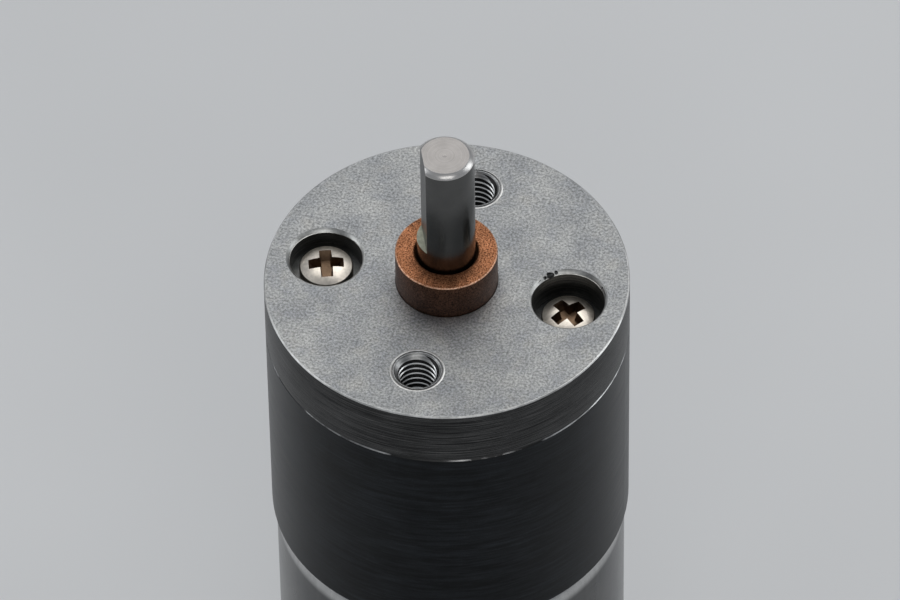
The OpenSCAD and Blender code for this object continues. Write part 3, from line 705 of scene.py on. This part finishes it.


# ---------------------------------------------------------------- output bush and shaft

# painted shade on the boss's outer side and short inner wall, a painted highlight on its rounded outer edge
bush = lathe(
    "output_bush_sintered",
    [(SHAFT_R + 0.01, -PLATE_T), (BUSH_R, -PLATE_T), (BUSH_R, -0.02), (3.42, -0.02), (BOSS_R, 0.05)]
    + [(BOSS_R, 2.82)] + arc(3.42, 2.82, 0.08, 0, 90, 3)
    + [(2.3, BOSS_H)] + arc(2.3, 2.74, 0.16, 90, 180, 3)[1:] + [(2.14, 2.66), (SHAFT_R + 0.01, 2.5)],
    ("bronze_side_painted_shade", "bronze_edge_painted_highlight", "bronze_top", "bush"),
    [3, 3, 3, 0, 0, 1, 1, 1, 1, 2, 2, 2, 2, 0, 3, 3], n=144, closed=True)
for v in bush.data.vertices:
    if v.co.z > 2.7 and (v.co.x ** 2 + v.co.y ** 2) > 3.36 ** 2:
        v.co.z += rng.uniform(-0.03, 0)
finish_piece(bush, "case", ["output_bush"], sharp=50)

shaft = lathe(
    "output_shaft_ground",
    [(0, -7.3), (1.78, -7.3), (1.98, -7.1), (1.98, 2.0), (1.96, 2.2), (1.96, 2.85), (1.98, 2.85)]
    + [(SHAFT_R, 2.88), (SHAFT_R, 12.16), (1.98, 12.23), (1.72, 12.47), (1.65, SHAFT_TOP)]
    + [(0.16, SHAFT_TOP), (0.1, 12.485), (0, SHAFT_TOP)],
    ("shaft", "bevel", "tip"), [0, 0, 0, 0, 0, 0, 0, 0, 1, 1, 1, 2, 2, 2], n=128)
mill = block("mill", (FLAT_X, -3, FLAT_FOOT), (3, 3, 14), ("flat", "ledge"), turn=FLAT_ANGLE)
for p in mill.data.polygons:
    p.material_index = 1 if p.normal.z < -0.9 else 0
carve(shaft, mill)
finish_piece(shaft, "output", ["output_shaft"])


# ---------------------------------------------------------------- screws

SLOT_W, SLOT_LEN, SLOT_DEPTH = 0.98, 3.0, 0.85


def pan_screw(name, head_r, head_h, edge_h, centre, z, turn, shank_r, shank_len):
    dome = (head_r ** 2 + (head_h - edge_h) ** 2) / (2 * (head_h - edge_h))
    top = []
    for i in range(9):
        r = (head_r - 0.08) * (1 - i / 8)
        top.append((r, head_h - dome + math.sqrt(dome * dome - r * r)))
    head = lathe(name, [(0, 0), (head_r - 0.15, 0), (head_r, 0.12), (head_r, edge_h - 0.1)] + top,
                 ("screw", "recess"), n=64)
    # a cross recess whose walls lean in towards its floor
    for a in (0, 90):
        cut = block("slot", (-SLOT_LEN / 2, -SLOT_W / 2, head_h - SLOT_DEPTH),
                    (SLOT_LEN / 2, SLOT_W / 2, head_h + 0.3), ("recess",))
        for v in cut.data.vertices:
            if v.co.z < head_h:
                v.co.x *= 0.55
                v.co.y *= 0.62
        cut.data.transform(Matrix.Rotation(math.radians(a + turn), 4, "Z"))
        carve(head, cut)
    shank = lathe("shank", [(0, -shank_len), (shank_r - 0.25, -shank_len), (shank_r, -shank_len + 0.25),
                            (shank_r, 0), (0, 0)], ("screw",), n=40)
    screw = join(name, [head, shank])
    screw.data.transform(Matrix.Translation((centre[0], centre[1], z)))
    return screw


cover = [pan_screw("cover_screw", 1.85, 1.3, 0.85, (s * HOLE_R, 0), -BORE_DEPTH[s], spin, 1.0, 6)
         for s, spin in ((-1, 18), (1, 51))]
finish_piece(join("cover_screws_pan_head", cover), "case", ["cover_screws"])
motor = [pan_screw("motor_screw", 2.1, 1.4, 1.05, (0, s * 8), CASE_Z + 1.5, 20, 1.2, 3.9) for s in (-1, 1)]
finish_piece(join("motor_screws_pan_head", motor), "case", ["motor_screws"])


# ---------------------------------------------------------------- motor can

can_in = CAN_R - CAN_WALL
can = lathe(
    "motor_can_drawn",
    [(1.4, CASE_Z + 1.3), (2.85, CASE_Z + 1.3), (3.0, CASE_Z + 1.15), (3.0, CASE_Z)]
    + arc(CAN_R - 1.5, CASE_Z - 1.5, 1.5, 90, 0, 10)
    + [(CAN_R, CAN_END + 0.12), (CAN_R - 0.12, CAN_END), (can_in + 0.1, CAN_END), (can_in, CAN_END + 0.1)]
    + [(can_in, CASE_Z - CAN_WALL - 0.6), (can_in - 0.6, CASE_Z - CAN_WALL), (2.4, CASE_Z - CAN_WALL)]
    + [(2.4, CASE_Z + 1.0), (1.4, CASE_Z + 1.0)],
    ("can",), n=160, closed=True)
for s in (-1, 1):
    carve(can, lathe("screw_hole", [(0, CASE_Z - 2), (1.2, CASE_Z - 2), (1.2, CASE_Z + 1), (0, CASE_Z + 1)],
                     ("can",), n=40, centre=(0, s * 8)))
    vent = block("vent", (-2.95, s * CAN_R - 2, CAP_Z + 5.4), (2.95, s * CAN_R + 2, CAP_Z + 7.8), ("can",))
    bm = bmesh.new()
    bm.from_mesh(vent.data)
    upright = [ed for ed in bm.edges if abs((ed.verts[0].co - ed.verts[1].co).y) > 1]
    bmesh.ops.bevel(bm, geom=upright, offset=1.15, segments=6, profile=0.5, affect="EDGES")
    bm.to_mesh(vent.data)
    bm.free()
    carve(can, vent)
tabs = [sector("tab", can_in - 0.8, can_in + 0.3, CAN_END, CAN_END + 0.35, a - 8, a + 8, ("can",), 8)
        for a in (45, 135, 225, 315)]
finish_piece(join("motor_can_drawn", [can] + tabs), "case", ["motor_can"], sharp=26)


# ---------------------------------------------------------------- rear cover

seat = can_in - 0.02
cap = lathe(
    "rear_cover",
    [(1.4, CAP_Z - 1.6), (3.5, CAP_Z - 1.6), (3.7, CAP_Z - 1.4), (4.0, CAP_Z - 0.15), (4.15, CAP_Z),
     (5.1, CAP_Z),
     (5.2, CAP_Z + 0.15), (5.5, CAP_Z + 0.15), (5.6, CAP_Z), (seat - 0.9, CAP_Z), (seat - 0.8, CAP_Z + 0.05),
     (seat - 0.1, CAP_Z + 0.05), (seat, CAP_Z + 0.15), (seat, CAP_Z + 5.0), (seat - 0.1, CAP_Z + 5.1),
     (seat - 1.3, CAP_Z + 5.1),
     (seat - 1.3, CAP_Z + 2.6), (2.4, CAP_Z + 2.6), (2.4, CAP_Z - 1.1), (1.4, CAP_Z - 1.1)],
    ("cap",), n=128, closed=True)
for s in (90, 270):
    carve(cap, sector("window", 6, 9.4, CAP_Z - 1, CAP_Z + 4, s - 24.9, s + 24.9, ("cap",)))
pads = []
for s in (-1, 1):
    low, high = sorted((s * TERMINAL_X - 1.5 * s, s * TERMINAL_X + 0.9 * s))
    pads.append(block("pad", (low, -2.2, CAP_Z - 0.6), (high, 2.2, CAP_Z + 0.3), ("cap",), 0.2, steps=3))
for pad in pads:
    carve(cap, pad, "UNION")
for s in (-1, 1):
    carve(cap, block("slit", (s * TERMINAL_X - 0.2, -1, CAP_Z - 2), (s * TERMINAL_X + 0.2, 1, CAP_Z + 6),
                     ("cap",)))
# shallow ejector marks
for a in (30, 150, 210, 330):
    c = (9.2 * math.cos(math.radians(a)), 9.2 * math.sin(math.radians(a)))
    carve(cap, lathe("ejector", [(0, CAP_Z - 0.5), (0.75, CAP_Z - 0.5), (0.75, CAP_Z + 0.05),
                                 (0.7, CAP_Z + 0.1), (0, CAP_Z + 0.1)], ("cap",), n=24, centre=c))
finish_piece(cap, "case", ["end_cap"])


# ---------------------------------------------------------------- armature coils

def wire_loop(verts, faces, x, half_y, low, high, corner, radius, turn, sides=6, steps=4):
    """One turn of wire round a pole: a rounded rectangle at distance x from the axis."""
    path = []
    for cy, cz, start in ((half_y - corner, high - corner, 0), (-half_y + corner, high - corner, 90),
                          (-half_y + corner, low + corner, 180), (half_y - corner, low + corner, 270)):
        for i in range(steps + 1):
            a = math.radians(start + 90 * i / steps)
            path.append((cy + corner * math.cos(a), cz + corner * math.sin(a), a))
    first = len(verts)
    c, s = math.cos(turn), math.sin(turn)
    for y, z, a in path:
        for k in range(sides):
            t = 2 * math.pi * k / sides
            px = x + radius * math.cos(t)
            py = y + radius * math.sin(t) * math.cos(a)
            verts.append((px * c - py * s, px * s + py * c, z + radius * math.sin(t) * math.sin(a)))
    n = len(path)
    for i in range(n):
        j = (i + 1) % n
        for k in range(sides):
            m = (k + 1) % sides
            near = first + i * sides
            far = first + j * sides
            faces.append((near + k, far + k, far + m, near + m))


verts, faces = [], []
wire = 0.18   # radius
for k in range(POLES):
    for layer in range(3):
        half = 1.42 + wire + layer * 2 * wire
        reach = wire + 0.02 + layer * 2 * wire
        count = 7 if layer < 2 else 6
        for i in range(count):
            x = 3.9 + wire * (layer % 2) + i * 2 * wire
            wire_loop(verts, faces, x, half, CORE_Z - CORE_LEN - 0.5 - reach, CORE_Z + 0.5 + reach,
                      0.45 + layer * 0.3, wire, math.radians(360 / POLES * k))
coils = piece("armature_coils", verts, faces, ("wire",))
finish_piece(coils, "rotor", ["armature_windings"], sharp=80)


# ---------------------------------------------------------------- materials of the CAD nodes that stay

keep = {
    "gear_housing": "housing", "output_gear": "gear_steel", "output_thrust_washer": "brass",
    "gear_pin_a": "pin", "gear_pin_b": "pin", "pin_a_spacers": "brass", "pin_b_spacers": "brass",
    "cluster_1_wheel": "gear_brass", "cluster_1_pinion": "gear_steel", "cluster_2_wheel": "gear_steel",
    "cluster_2_pinion": "gear_steel", "cluster_3_wheel": "gear_steel", "cluster_3_pinion": "gear_steel",
    "cluster_4_wheel": "gear_steel", "cluster_4_pinion": "gear_steel", "motor_pinion": "gear_brass",
    "motor_shaft": "pin", "armature_core": "core", "armature_insulators": "fibre", "commutator_hub": "resin",
    "commutator_segments": "copper", "varistor_ring": "varistor", "rotor_collars": "nylon",
    "front_motor_bush": "bush", "rear_motor_bush": "bush",
    "magnet_left": "ferrite", "magnet_right": "ferrite", "magnet_springs": "spring",
    "brush_arm_left": "brass", "brush_arm_right": "brass", "brush_left": "carbon", "brush_right": "carbon",
    "terminal_left": "tinned", "terminal_right": "tinned",
}
for node, look in keep.items():
    for slot in NODES[node].material_slots:
        slot.material = M[look]
